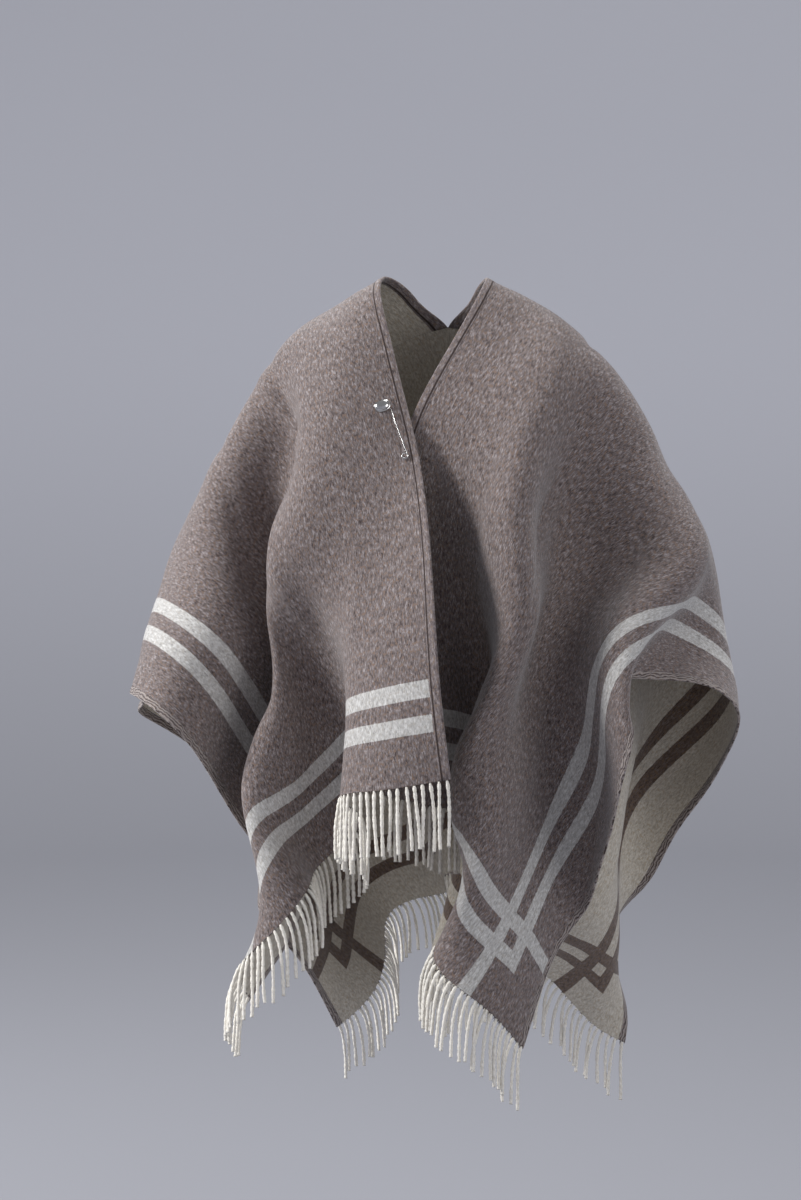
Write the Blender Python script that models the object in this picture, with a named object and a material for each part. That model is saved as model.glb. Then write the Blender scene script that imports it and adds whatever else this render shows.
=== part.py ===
import bpy
import math
import numpy as np

# An open-front poncho cut from one length of double-faced wool, worn with the slit at the front.
# Lengths here are centimetres and become metres when a mesh is made. The wearer faces -Y.
# "across" is a cloth distance from the middle, + to the wearer's left; "along" is a cloth
# distance from the middle line over the shoulders, + to the front hem and - to the back hem.

# Driving sizes
HALF_WIDTH = 75.0        # middle to selvedge
HALF_LENGTH = 87.0       # middle line to each hem
CLOTH = 0.24             # wall of the panels
EDGE = 0.36              # wall of the turned edges and of the rolled selvedges
TURNED = 1.5             # width of a turned front edge
ROLLED = 1.2             # width of a rolled selvedge
PART = 0.03              # space between neighbouring pieces
STEP = 3.0               # spacing of the grid on which the cloth is worked out
SLACK = 0.3              # share of a too short step that is evened out; the rest is small puckers
FRINGE_LONG = 8.6       # a strand from hem to tip
FRINGE_THICK = 0.52
FRINGE_APART = 1.25
FRINGE_STRIP = 0.5       # height of the strip that holds the roots

# How the worn cloth lies. Each row is one length line of the cloth, named by its distance
# across; its columns are the places x, y, z of that line at the stations along the cloth.
FRONT_STATIONS = (0, 12, 24, 45, 66, 87)
BACK_STATIONS = (-87, -66, -45, -24, -12)
FRONT_RIGHT = (
    (-75, (-44, -2, -62), (-41, -13, -60), (-33, -21, -62), (-28, -8, -76), (-21, -1, -89), (-24, -9, -103)),
    (-66, (-44, 0, -54), (-39, -11, -51), (-31, -17, -55), (-26, -4, -69), (-18, -6, -83), (-24, -17, -98)),
    (-57, (-42, 3, -45), (-37, -8, -44), (-28, -13, -48), (-22, 0, -62), (-20, -10, -77), (-19, -21, -92)),
    (-48, (-39, 5, -37), (-34, -6, -36), (-27, -8, -41), (-17, -3, -55), (-23, -15, -70), (-14, -17, -86)),
    (-39, (-34, 7, -30), (-31, -4, -28), (-25, -4, -34), (-19, -8, -49), (-18, -15, -66), (-15, -9, -84)),
    (-31, (-29, 8, -24), (-28, -2, -21), (-22, -4, -27), (-20.5, -13, -42), (-14, -9, -59), (-9, -10, -78)),
    (-25, (-25, 9, -19), (-26, -1, -15.5), (-19.5, -5, -22), (-17.5, -16, -38), (-11, -11, -56), (-8, -14, -75)),
    (-18, (-19, 9, -13), (-22, 0, -8), (-18, -8, -17), (-13, -17, -34), (-9, -17, -53), (-8, -21, -72)),
    (-9, (-11, 9, -10), (-15, 1, -2.5), (-12, -10, -11), (-5, -16, -30), (-2, -22, -50), (0, -26, -71)),
    (0, (0, 8, -2), (-8, -1, 2), (-6, -8, -9), (0, -15, -27), (8, -25, -48), (11, -25, -69)),
)
FRONT_LEFT = (
    (0, (0, 8, -2), (8, 1, 2), (5, -6, -8), (-4, -13, -26), (-2, -10, -53), (-3, -8, -75)),
    (9, (11, 8, -9), (16, 2, -2.5), (12, -9, -14), (6, -12, -33), (4, -8, -54), (3, -7, -77)),
    (20, (21, 9, -13), (23, -1, -9.5), (20, -10, -18), (13, -19, -37), (9, -4, -59), (10, -1, -80)),
    (30, (28, 10, -22), (28, 0, -19.5), (19, -6, -29), (18, -20, -44), (9, -12, -63), (12, -2, -83)),
    (39, (31, 12, -28), (31, 0, -29), (21, -2, -36), (18, -16, -51), (8, -18, -69), (10, -8, -87)),
    (47, (36, 10, -35), (35, -1, -35), (25, -3, -42), (16, -11, -56), (13, -18, -73), (8, -14, -91)),
    (53, (38, 8, -40), (38, -3, -40), (28, -7, -45), (18, -7, -60), (15, -14, -77), (6, -18, -94)),
    (60, (37, 7, -46), (36, -4, -46), (29, -12, -49), (22, -6, -65), (17, -9, -81), (9, -20, -98)),
    (67, (35, 6, -51), (33, -5, -50), (30, -15, -55), (26, -7, -72), (19, -7, -85), (13, -18, -102)),
    (75, (37, 2, -57), (30, -7, -56), (31, -17, -62), (28, -12, -79), (20, -5, -91), (16, -15, -107)),
)
BACK = (
    (-75, (-21, 21, -113), (-25, 9, -98), (-32, 17, -83), (-43, 17, -69), (-48, 8, -65)),
    (-66, (-17, 27, -109), (-26, 17, -95), (-28, 12, -80), (-39, 19, -64), (-45, 11, -57)),
    (-57, (-17, 34, -104), (-27, 23, -90), (-24, 9, -75), (-35, 17, -58), (-41, 13, -50)),
    (-48, (-18, 42, -99), (-24, 29, -84), (-21, 14, -70), (-29, 13, -53), (-35, 14, -43)),
    (-38, (-10, 43, -97), (-18, 34, -80), (-19, 21, -63), (-22, 9, -47), (-28, 12, -37)),
    (-28, (-5, 34, -93), (-13, 29, -74), (-19, 28, -55), (-16, 13, -41), (-20, 9, -31)),
    (-19, (-4, 25, -90), (-8, 26, -69), (-14, 33, -50), (-14, 19, -34), (-14, 11, -26)),
    (-9, (1, 29, -89), (-1, 31, -68), (-5, 32, -48), (-7, 23, -29), (-8, 15, -19)),
    (0, (5, 37, -88), (5, 34, -67), (-2, 25, -49), (0, 20, -29), (0, 14, -18)),
    (9, (9, 29, -89), (7, 26, -68), (-3, 17, -51), (4, 12, -32), (8, 10, -21)),
    (19, (6, 21, -94), (6, 18, -75), (4, 11, -56), (12, 8, -36), (16, 7, -25)),
    (28, (-1, 15, -98), (3, 11, -79), (11, 9, -60), (19, 5, -41), (22, 10, -30)),
    (38, (-3, 9, -102), (9, 10, -84), (19, 6, -65), (26, 11, -46), (28, 16, -35)),
    (48, (5, 14, -102), (18, 9, -89), (26, 11, -70), (29, 19, -51), (35, 19, -41)),
    (57, (11, 21, -103), (22, 12, -91), (25, 19, -73), (33, 24, -56), (38, 18, -48)),
    (66, (18, 26, -111), (23, 19, -94), (25, 25, -77), (38, 22, -63), (40, 14, -56)),
    (75, (24, 30, -116), (22, 25, -97), (30, 24, -82), (39, 17, -70), (42, 8, -62)),
)

STATIONS = BACK_STATIONS + FRONT_STATIONS


def spline(x, y, at):
    """Natural cubic curve through the values y at x, read at the places in at."""
    x, y, at = np.asarray(x, float), np.asarray(y, float), np.asarray(at, float)
    n, h = len(x), np.diff(x)
    matrix = np.eye(n)
    right = np.zeros((n,) + y.shape[1:])
    shape = (-1,) + (1,) * (y.ndim - 1)
    slope = np.diff(y, axis=0) / h.reshape(shape)
    for k in range(1, n - 1):
        matrix[k, k - 1:k + 2] = h[k - 1], 2 * (h[k - 1] + h[k]), h[k]
        right[k] = 6 * (slope[k] - slope[k - 1])
    bend = np.linalg.solve(matrix, right.reshape(n, -1)).reshape(right.shape)
    k = np.clip(np.searchsorted(x, at, side="right") - 1, 0, n - 2)
    step = h[k].reshape(shape)
    t = (at - x[k]).reshape(shape)
    s = step - t
    return ((bend[k] * s ** 3 + bend[k + 1] * t ** 3) / (6 * step)
            + (y[k] / step - bend[k] * step / 6) * s
            + (y[k + 1] / step - bend[k + 1] * step / 6) * t)


def read_table(rows, across):
    """The table's places, carried from its rows to the distances in across."""
    return spline([row[0] for row in rows], [row[1:] for row in rows], across)


def half_cloth(front, across, along):
    """One half of the cloth on the grid across x along."""
    places = np.concatenate([read_table(BACK, across), read_table(front, across)], axis=1)
    return spline(STATIONS, places.transpose(1, 0, 2), along).transpose(1, 0, 2)


def even_lengths(cloth, middle, seam, passes=60):
    """Moves neighbours until each step along the cloth has its cut length, so that it isn't
    stretched anywhere, and irons the moves so that no crease is finer than the grid."""
    start = cloth.copy()
    wide, long = cloth.shape[:2]
    links = []
    for reach, pull in ((1, 1.0), (2, 0.35), (4, 0.2)):
        for half in (0, 1):
            across = [i for i in range(wide - reach)
                      if (i // reach) % 2 == half and (i + reach < middle or i >= middle)]
            along = [j for j in range(long - reach) if (j // reach) % 2 == half]
            links.append((across, range(long), reach, 0, reach * STEP, pull))
            links.append((range(wide), along, 0, reach, reach * STEP, pull))
            if reach == 1:
                links.append((across, range(long - 1), 1, 1, STEP * math.sqrt(2), 0.5))
                links.append((across, range(1, long), 1, -1, STEP * math.sqrt(2), 0.5))
    links = [np.meshgrid(list(i), list(j), indexing="ij") + [a, b, r, p]
             for i, j, a, b, r, p in links]
    for turn in range(passes):
        for i, j, a, b, length, pull in links:
            first, second = cloth[i, j], cloth[i + a, j + b]
            between = second - first
            size = np.linalg.norm(between, axis=-1, keepdims=True)
            change = 0.5 * pull * np.where(size < length, SLACK, 1.0) * (1 - length / size) * between
            cloth[i, j] = first + change
            cloth[i + a, j + b] = second - change
        moved = (cloth - start) * 0.95
        for part in (moved[:middle], moved[middle:]):
            part[1:-1] += 0.15 * (part[:-2] + part[2:] - 2 * part[1:-1])
            part[:, 1:-1] += 0.15 * (part[:, :-2] + part[:, 2:] - 2 * part[:, 1:-1])
        cloth = start + moved
        joined = 0.375 * (cloth[middle - 1, :seam] + cloth[middle, :seam])
        joined += 0.125 * (cloth[middle - 2, :seam] + cloth[middle + 1, :seam])
        cloth[middle - 1, :seam] = joined
        cloth[middle, :seam] = joined
    return cloth


GRID_ALONG = np.arange(-HALF_LENGTH, HALF_LENGTH + 0.1, STEP)
GRID_RIGHT = np.arange(-HALF_WIDTH, 0.1, STEP)
GRID_LEFT = -GRID_RIGHT[::-1]
MIDDLE = len(GRID_RIGHT)
SEAM = len(GRID_ALONG) // 2 + 1
CLOTH_GRID = even_lengths(
    np.concatenate([half_cloth(FRONT_RIGHT, GRID_RIGHT, GRID_ALONG),
                    half_cloth(FRONT_LEFT, GRID_LEFT, GRID_ALONG)]), MIDDLE, SEAM)
RIGHT_HALF = CLOTH_GRID[:MIDDLE]
LEFT_HALF = CLOTH_GRID[MIDDLE:]


def read_half(half, across, along):
    """Places of the cloth's middle layer on one half, at the grid across x along."""
    grid, lines = (RIGHT_HALF, GRID_RIGHT) if half == "right" else (LEFT_HALF, GRID_LEFT)
    return spline(GRID_ALONG, spline(lines, grid, across).transpose(1, 0, 2), along).transpose(1, 0, 2)


def surface(half, across, along):
    """The same for either half or for the whole back."""
    across = np.asarray(across, float)
    if half != "whole":
        return read_half(half, across, along)
    return np.concatenate([read_half("right", across[across <= 0], along),
                           read_half("left", across[across > 0], along)])


def outward(half, across, along):
    """Unit directions out of the garment, from places a little to each side, the same for
    every piece that meets there."""
    across, along = np.asarray(across, float), np.asarray(along, float)
    near = 0.6
    if half == "whole":
        return np.concatenate([outward("right", across[across <= 0], along),
                               outward("left", across[across > 0], along)])
    low, high = (GRID_RIGHT[0], 0.0) if half == "right" else (0.0, GRID_LEFT[-1])
    wide = (read_half(half, np.clip(across + near, low, high), along)
            - read_half(half, np.clip(across - near, low, high), along))
    long = (read_half(half, across, np.clip(along + near, -HALF_LENGTH, HALF_LENGTH))
            - read_half(half, across, np.clip(along - near, -HALF_LENGTH, HALF_LENGTH)))
    cross = -np.cross(wide, long)
    return cross / np.linalg.norm(cross, axis=-1, keepdims=True)


def material(name, colour, roughness=0.9, metallic=0.0):
    shade = bpy.data.materials.new(name)
    shade.use_nodes = True
    node = shade.node_tree.nodes["Principled BSDF"]
    node.inputs["Base Color"].default_value = (*colour, 1.0)
    node.inputs["Roughness"].default_value = roughness
    node.inputs["Metallic"].default_value = metallic
    shade.diffuse_color = (*colour, 1.0)
    return shade


def add_object(name, points, faces, shade):
    """One closed body, its faces turned out."""
    points = np.asarray(points, float) * 0.01
    mesh = bpy.data.meshes.new(name)
    mesh.from_pydata(points.tolist(), [], [tuple(face) for face in faces])
    mesh.update()
    volume = 0.0
    for face in faces:
        for k in range(1, len(face) - 1):
            a, b, c = points[face[0]], points[face[k]], points[face[k + 1]]
            volume += np.dot(a, np.cross(b, c))
    if volume < 0:
        mesh.flip_normals()
    mesh.materials.append(shade)
    thing = bpy.data.objects.new(name, mesh)
    bpy.context.collection.objects.link(thing)
    return thing


def wall(name, half, across, along, thickness, shade):
    """A closed wall at the grid of distances across x along; its thickness is one number or
    one for each distance across."""
    middle = surface(half, across, along)
    wide, long = middle.shape[:2]
    out = outward(half, across, along) * (np.zeros(wide) + thickness)[:, None, None] / 2
    points = np.concatenate([(middle + out).reshape(-1, 3), (middle - out).reshape(-1, 3)])
    number = np.arange(wide * long).reshape(wide, long)
    corners = number[:-1, :-1], number[1:, :-1], number[1:, 1:], number[:-1, 1:]
    faces = []
    for a, b, c in ((0, 1, 2), (0, 2, 3)):
        three = np.stack([corners[a], corners[b], corners[c]], -1).reshape(-1, 3)
        faces += three.tolist() + (three + wide * long)[:, ::-1].tolist()
    for row, flip in ((number[0], 1), (number[-1], -1), (number[:, 0], -1), (number[:, -1], 1)):
        for a, b in zip(row[:-1].tolist(), row[1:].tolist()):
            faces.append([a, b, b + wide * long][::flip])
            faces.append([a, b + wide * long, a + wide * long][::flip])
    return add_object(name, points, faces, shade)


def fringe(name, half, knots, hem, shade):
    """Twisted strands hung in a row on a narrow strip that lies just past the hem. The knots
    are the distances across at which the walls along this hem have their corners."""
    knots = np.array(knots)
    count = int(round((knots[-1] - knots[0]) / FRINGE_APART))
    pitch = (knots[-1] - knots[0]) / count
    centres = knots[0] + pitch * (np.arange(count) + 0.5)
    corners = surface(half, knots, sorted((hem, hem * (1 - 1 / 24))))
    if hem < 0:
        corners = corners[:, ::-1]
    before, hemline = (np.stack([np.interp(centres, knots, corners[:, j, c]) for c in range(3)], 1)
                       for j in (0, 1))
    ahead = hemline - before
    ahead /= np.linalg.norm(ahead, axis=1, keepdims=True)
    side = np.gradient(hemline, axis=0)
    side /= np.linalg.norm(side, axis=1, keepdims=True)
    face = np.cross(side, ahead)
    face /= np.linalg.norm(face, axis=1, keepdims=True)
    side = np.cross(ahead, face)
    points, faces = [], []
    half_thick = FRINGE_THICK / 2
    for k in range(count):
        top = hemline[k] + ahead[k] * PART * 2.8
        low = hemline[k] + ahead[k] * (PART * 2.8 + FRINGE_STRIP)
        ring = [low - side[k] * half_thick + face[k] * half_thick * 0.6,
                low + side[k] * half_thick + face[k] * half_thick * 0.6,
                low - face[k] * half_thick]
        base = len(points)
        points += [top] + ring
        sway = math.sin(2.4 * k) + 0.6 * math.sin(5.1 * k + 1.0)
        length = FRINGE_LONG * (1.0 + 0.05 * math.sin(3.7 * k))
        down = np.array([0.0, 0.0, -1.0])
        heading = ahead[k] * 0.75 + down * 0.25
        spot = low
        for turn in range(2):
            heading = ahead[k] * (0.55, 0.12)[turn] + down * (0.55, 0.95)[turn]
            heading = heading + side[k] * 0.035 * sway * (1, -1.5)[turn]
            heading /= np.linalg.norm(heading)
            spot = spot + heading * (length - FRINGE_STRIP) * (0.45, 0.55)[turn]
            size = (1.0, 0.85)[turn]
            points += [spot + (corner - low) * size for corner in ring]
        for turn in range(2):
            a = base + 1 + 3 * turn
            for c in range(3):
                d = (c + 1) % 3
                faces.append([a + c, a + d, a + 3 + d, a + 3 + c])
        faces.append([base + 9, base + 8, base + 7][::-1])
        faces.append([base, base + 2, base + 1])
        if k == 0:
            faces.append([base, base + 1, base + 3])
        if k == count - 1:
            faces.append([base, base + 3, base + 2])
        if k < count - 1:
            nxt = base + 10
            faces.append([base, nxt, base + 2])
            faces.append([nxt, nxt + 1, base + 2])
            faces.append([base, base + 3, nxt])
            faces.append([nxt, base + 3, nxt + 3])
            faces.append([base + 2, nxt + 1, nxt + 3])
            faces.append([base + 2, nxt + 3, base + 3])
    return add_object(name, points, faces, shade)


def tube(path, radius, sides):
    """Rings of a round bar along a path."""
    path = np.asarray(path, float)
    ahead = np.gradient(path, axis=0)
    ahead /= np.linalg.norm(ahead, axis=1, keepdims=True)
    up = np.cross(ahead[0], (0.3, 0.9, 0.1))
    rings = []
    for place, way in zip(path, ahead):
        up = up - way * np.dot(up, way)
        up /= np.linalg.norm(up)
        over = np.cross(way, up)
        turn = 2 * math.pi * np.arange(sides) / sides
        rings.append(place + radius * (np.outer(np.cos(turn), up) + np.outer(np.sin(turn), over)))
    return rings


def bar(name, path, radius, sides, shade):
    rings = tube(path, radius, sides)
    points = np.concatenate(rings)
    faces = []
    for k in range(len(rings) - 1):
        for c in range(sides):
            d = (c + 1) % sides
            a, b = k * sides, (k + 1) * sides
            faces.append([a + c, a + d, b + d, b + c])
    faces.append(list(range(sides))[::-1])
    faces.append([(len(rings) - 1) * sides + c for c in range(sides)])
    return add_object(name, points, faces, shade)


for thing in list(bpy.data.objects):
    bpy.data.objects.remove(thing, do_unlink=True)

taupe = material("taupe_wool", (0.20, 0.155, 0.135))
edging = material("taupe_edge", (0.16, 0.12, 0.105))
cream = material("cream_wool", (0.80, 0.76, 0.66))
steel = material("bright_steel", (0.75, 0.75, 0.76), 0.25, 1.0)

INSIDE = HALF_WIDTH - ROLLED - PART
SLIT = TURNED + PART

# Corners of the walls, shared by all pieces so that their flat faces run side by side
CORNERS_RIGHT = np.linspace(-INSIDE, -SLIT, 21)
CORNERS_LEFT = -CORNERS_RIGHT[::-1]
CORNERS_WHOLE = np.concatenate([CORNERS_RIGHT, [0.0], CORNERS_LEFT])
CORNERS_FRONT = np.linspace(PART / 2, HALF_LENGTH, 25)
CORNERS_BACK = np.linspace(-HALF_LENGTH, -PART / 2, 25)
CORNERS_SIDE = np.concatenate([CORNERS_BACK, CORNERS_FRONT])

wall("back_panel", "whole", CORNERS_WHOLE, CORNERS_BACK, CLOTH, taupe)
wall("front_right", "right", CORNERS_RIGHT, CORNERS_FRONT, CLOTH, taupe)
wall("front_left", "left", CORNERS_LEFT, CORNERS_FRONT, CLOTH, taupe)


def edge_strip(name, half, inner, outer, along):
    """A turned or rolled edge: as thin as the panel where they meet, then thicker."""
    across = np.array([inner, inner + 0.3 * np.sign(outer - inner), outer])
    thick = np.array([CLOTH, EDGE, EDGE])
    order = np.argsort(across)
    wall(name, half, across[order], along, thick[order], edging)


edge_strip("turned_edge_right", "right", -TURNED, -PART, CORNERS_FRONT)
edge_strip("turned_edge_left", "left", TURNED, PART, CORNERS_FRONT)
edge_strip("selvedge_right", "right", -HALF_WIDTH + ROLLED, -HALF_WIDTH, CORNERS_SIDE)
edge_strip("selvedge_left", "left", HALF_WIDTH - ROLLED, HALF_WIDTH, CORNERS_SIDE)
hem_right = [-HALF_WIDTH, *CORNERS_RIGHT, 0]
hem_left = [0, *CORNERS_LEFT, HALF_WIDTH]
hem_back = [-HALF_WIDTH, *CORNERS_WHOLE, HALF_WIDTH]
fringe("fringe_front_right", "right", hem_right, HALF_LENGTH, cream)
fringe("fringe_front_left", "left", hem_left, HALF_LENGTH, cream)
fringe("fringe_back", "whole", hem_back, -HALF_LENGTH, cream)

# Kilt pin, on a plane that lies just above the right front: s runs from its cap to its coil,
# w to its side and n away from the cloth
PIN_TOP = (-4.0, 33.6)       # across, along
PIN_END = (-2.3, 42.4)
PIN_OFF = 0.185
CAP_WIDE, CAP_LONG, CAP_THICK = 2.3, 1.7, 0.5
WIRE = 0.095
COIL = 0.40


def pin_frame():
    ends = [surface("right", [a], [b])[0, 0] + outward("right", [a], [b])[0, 0] * PIN_OFF
            for a, b in (PIN_TOP, PIN_END)]
    s = ends[1] - ends[0]
    length = np.linalg.norm(s)
    s /= length
    n = outward("right", [-3.0], [38.0])[0, 0]
    n -= s * np.dot(n, s)
    n /= np.linalg.norm(n)
    return ends[0], np.cross(n, s), s, n, length


def pin_places(rows):
    """Places from rows of w, s, n on the pin's plane."""
    origin, w, s, n, _ = pin_frame()
    return [origin + w * a + s * b + n * c for a, b, c in rows]


def pin_cap(sides=20, rings=4):
    """A pressed cap: a shield outline, domed on the face and flat at the back."""
    rows = [(0.0, CAP_LONG / 2, 0.0)]
    for k in range(1, rings + 1):
        for t in 2 * math.pi * np.arange(sides) / sides:
            c, s = math.cos(t), math.sin(t)
            w = CAP_WIDE / 2 * math.copysign(abs(c) ** 0.75, c) * (1 + 0.06 * s)
            rows.append((w * k / rings, CAP_LONG / 2 * (1 - math.copysign(abs(s) ** 0.75, s) * k / rings), 0.0))
    top = [(w, s, CAP_THICK * (1 - (k / (rings + 0.4)) ** 3)) for (w, s, _), k in
           zip(rows, [0] + [1 + j // sides for j in range(rings * sides)])]
    count = len(rows)
    faces = []
    for side, base in ((1, 0), (-1, count)):
        for j in range(sides):
            d = (j + 1) % sides
            faces.append([base, base + 1 + j, base + 1 + d][::side])
            for k in range(rings - 1):
                a, b = base + 1 + k * sides, base + 1 + (k + 1) * sides
                faces.append([a + j, b + j, b + d, a + d][::side])
    rim = 1 + (rings - 1) * sides
    for j in range(sides):
        d = (j + 1) % sides
        faces.append([rim + j, count + rim + j, count + rim + d, rim + d])
    return add_object("pin_cap", pin_places(top + rows), faces, steel)


def pin_wire():
    """The front arm, one and a half turns of coil, and the start of the arm that enters the cloth."""
    length = pin_frame()[4]
    rows = [(0.85, CAP_LONG + 0.12, 0.16), (0.85 - 0.3 * (0.85 - COIL), CAP_LONG + 2.0, 0.22)]
    turns = np.linspace(0, 3 * math.pi, 19)
    for t in turns:
        rows.append((COIL * math.cos(t), length + COIL * math.sin(t), 0.50 - 0.34 * t / turns[-1]))
    rows.append((-COIL - 0.02, length - 0.3, 0.15))
    return bar("pin_wire", pin_places(rows), WIRE, 6, steel)


pin_cap()
pin_wire()
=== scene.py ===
import math

import bpy
import numpy as np
from mathutils import Matrix, Vector


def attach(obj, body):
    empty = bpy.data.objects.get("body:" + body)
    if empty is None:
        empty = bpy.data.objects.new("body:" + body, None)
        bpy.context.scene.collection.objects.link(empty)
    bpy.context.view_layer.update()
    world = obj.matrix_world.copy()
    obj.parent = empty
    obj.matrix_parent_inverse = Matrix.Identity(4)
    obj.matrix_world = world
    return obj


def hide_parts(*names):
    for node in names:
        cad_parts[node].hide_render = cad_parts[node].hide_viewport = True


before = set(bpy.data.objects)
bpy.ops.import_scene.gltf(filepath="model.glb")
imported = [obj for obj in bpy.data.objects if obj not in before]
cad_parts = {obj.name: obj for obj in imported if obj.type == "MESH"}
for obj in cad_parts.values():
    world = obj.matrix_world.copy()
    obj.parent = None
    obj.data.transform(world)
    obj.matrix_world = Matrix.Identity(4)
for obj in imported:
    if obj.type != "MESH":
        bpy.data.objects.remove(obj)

print("stage: frame loaded")
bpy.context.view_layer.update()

# Camera: 16 degrees to the side and 3 degrees up, 3.6 m from the point between the shoulders,
# which lies off the picture's centre
camera = {"azimuth": 16.0, "elevation": 3.0, "distance": 3.6, "pixelsPerMetre": 700.0,
          "wide": 801, "high": 1200, "originX": 434, "originY": 276, "sensor": 36.0, "reach": 60}


def makeCamera(c):
    # it stands back from the origin along the ray through the origin's pixel
    azimuth, elevation = math.radians(c["azimuth"]), math.radians(c["elevation"])
    right = Vector((math.cos(azimuth), math.sin(azimuth), 0))
    ahead = Vector((-math.sin(azimuth) * math.cos(elevation),
                    math.cos(azimuth) * math.cos(elevation), -math.sin(elevation)))
    up = right.cross(ahead)
    focal = c["pixelsPerMetre"] * c["distance"]
    ray = (ahead + right * ((c["originX"] - c["wide"] / 2) / focal)
           + up * ((c["high"] / 2 - c["originY"]) / focal))
    data = bpy.data.cameras.new("camera")
    data.sensor_width = c["sensor"]
    data.lens = focal / c["high"] * c["sensor"]
    data.clip_end = c["reach"]
    eye = bpy.data.objects.new("camera", data)
    turn = Matrix((right, up, -ahead)).transposed()
    eye.matrix_world = Matrix.Translation(-ray * c["distance"]) @ turn.to_4x4()
    bpy.context.collection.objects.link(eye)
    bpy.context.scene.camera = eye


makeCamera(camera)

# Sizes of the cloth in centimetres, the same as the solids'. "across" runs from the middle
# line, + to the wearer's left; "along" from the shoulder line, + to the front hem.
cloth = {"halfWidth": 75.0, "halfLength": 87.0, "thick": 0.24, "turned": 1.5, "rolled": 1.2,
         "part": 0.03, "step": 3.0}
# Where the cloth hangs. Each row is one line along it: its distance across, then the place
# (x, y, z) of the line at each station
frontStations = (0, 12, 24, 45, 66, 87)
backStations = (-87, -66, -45, -24, -12)
frontRightTable = (
    (-75, (-44, -2, -62), (-41, -13, -60), (-33, -21, -62), (-28, -8, -76), (-21, -1, -89), (-24, -9, -103)),
    (-66, (-44, 0, -54), (-39, -11, -51), (-31, -17, -55), (-26, -4, -69), (-18, -6, -83), (-24, -17, -98)),
    (-57, (-42, 3, -45), (-37, -8, -44), (-28, -13, -48), (-22, 0, -62), (-20, -10, -77), (-19, -21, -92)),
    (-48, (-39, 5, -37), (-34, -6, -36), (-27, -8, -41), (-17, -3, -55), (-23, -15, -70), (-14, -17, -86)),
    (-39, (-34, 7, -30), (-31, -4, -28), (-25, -4, -34), (-19, -8, -49), (-18, -15, -66), (-15, -9, -84)),
    (-31, (-29, 8, -24), (-28, -2, -21), (-22, -4, -27), (-20.5, -13, -42), (-14, -9, -59), (-9, -10, -78)),
    (-25, (-25, 9, -19), (-26, -1, -15.5), (-19.5, -5, -22), (-17.5, -16, -38), (-11, -11, -56), (-8, -14, -75)),
    (-18, (-19, 9, -13), (-22, 0, -8), (-18, -8, -17), (-13, -17, -34), (-9, -17, -53), (-8, -21, -72)),
    (-9, (-11, 9, -10), (-15, 1, -2.5), (-12, -10, -11), (-5, -16, -30), (-2, -22, -50), (0, -26, -71)),
    (0, (0, 8, -2), (-8, -1, 2), (-6, -8, -9), (0, -15, -27), (8, -25, -48), (11, -25, -69)),
)
frontLeftTable = (
    (0, (0, 8, -2), (8, 1, 2), (5, -6, -8), (-4, -13, -26), (-2, -10, -53), (-3, -8, -75)),
    (9, (11, 8, -9), (16, 2, -2.5), (12, -9, -14), (6, -12, -33), (4, -8, -54), (3, -7, -77)),
    (20, (21, 9, -13), (23, -1, -9.5), (20, -10, -18), (13, -19, -37), (9, -4, -59), (10, -1, -80)),
    (30, (28, 10, -22), (28, 0, -19.5), (19, -6, -29), (18, -20, -44), (9, -12, -63), (12, -2, -83)),
    (39, (31, 12, -28), (31, 0, -29), (21, -2, -36), (18, -16, -51), (8, -18, -69), (10, -8, -87)),
    (47, (36, 10, -35), (35, -1, -35), (25, -3, -42), (16, -11, -56), (13, -18, -73), (8, -14, -91)),
    (53, (38, 8, -40), (38, -3, -40), (28, -7, -45), (18, -7, -60), (15, -14, -77), (6, -18, -94)),
    (60, (37, 7, -46), (36, -4, -46), (29, -12, -49), (22, -6, -65), (17, -9, -81), (9, -20, -98)),
    (67, (35, 6, -51), (33, -5, -50), (30, -15, -55), (26, -7, -72), (19, -7, -85), (13, -18, -102)),
    (75, (37, 2, -57), (30, -7, -56), (31, -17, -62), (28, -12, -79), (20, -5, -91), (16, -15, -107)),
)
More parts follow.
